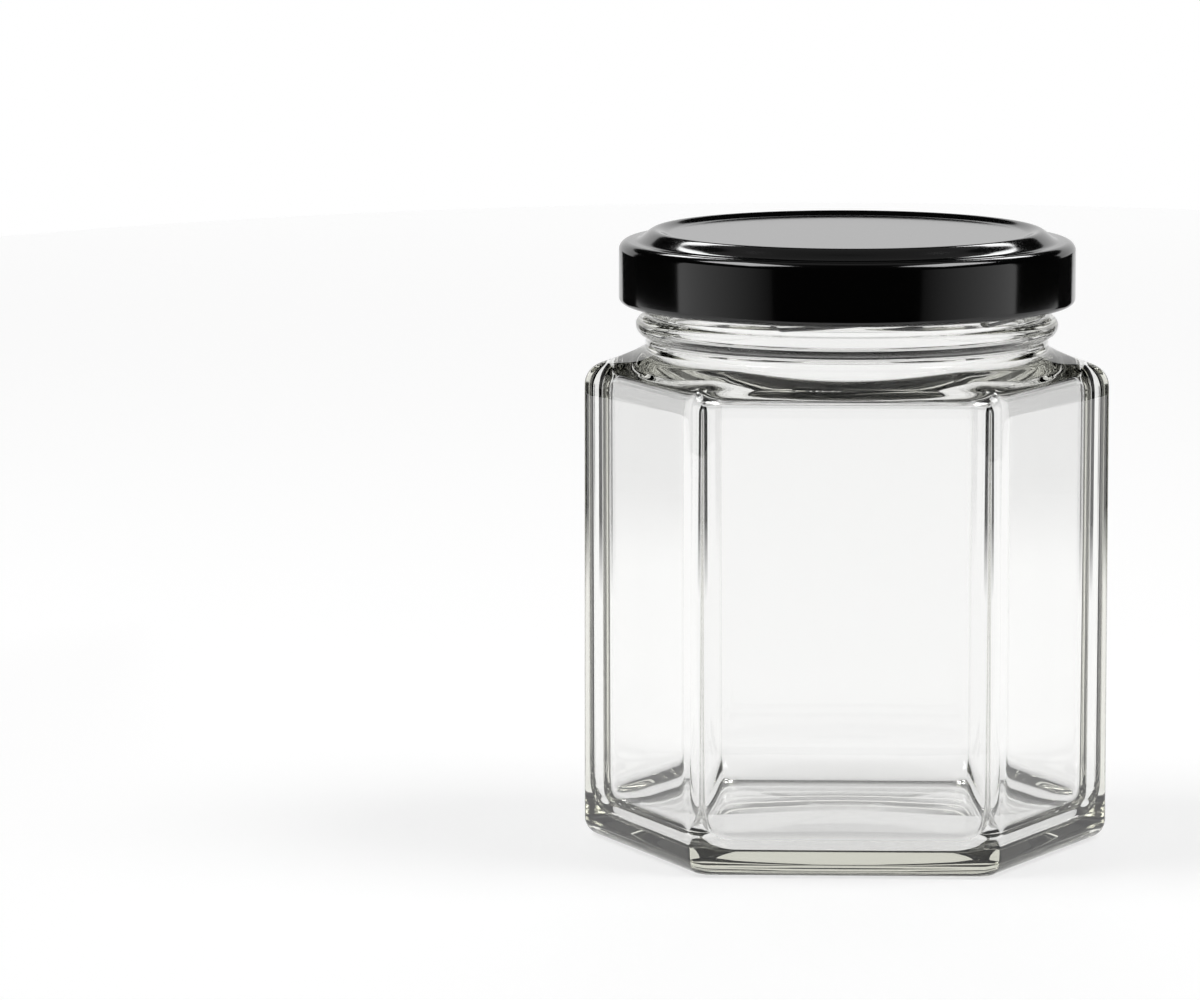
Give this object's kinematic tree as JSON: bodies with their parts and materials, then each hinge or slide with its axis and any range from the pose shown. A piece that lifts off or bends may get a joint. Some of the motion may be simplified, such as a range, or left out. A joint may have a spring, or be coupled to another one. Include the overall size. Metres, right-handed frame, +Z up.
{
  "type": "hexagonal glass jar",
  "caption": "Empty clear glass jar with a hexagonal body, a round beaded neck with a multi-start thread, and a glossy black twist-off metal lid.",
  "frame": {"origin": "centre of the base, on the surface the jar stands on", "axes": "+Z up along the jar's axis; -Y out of the wide flat that faces the viewer; +X through a corner of the hexagon, to the viewer's right"},
  "size_m": [0.0768, 0.0694, 0.0899],
  "materials": {
    "clear_glass": "clear polished",
    "black_lacquer": "gloss"
  },
  "bodies": {
    "root": {"jar": "clear_glass", "lid": "black_lacquer"}
  },
  "joints": []
}
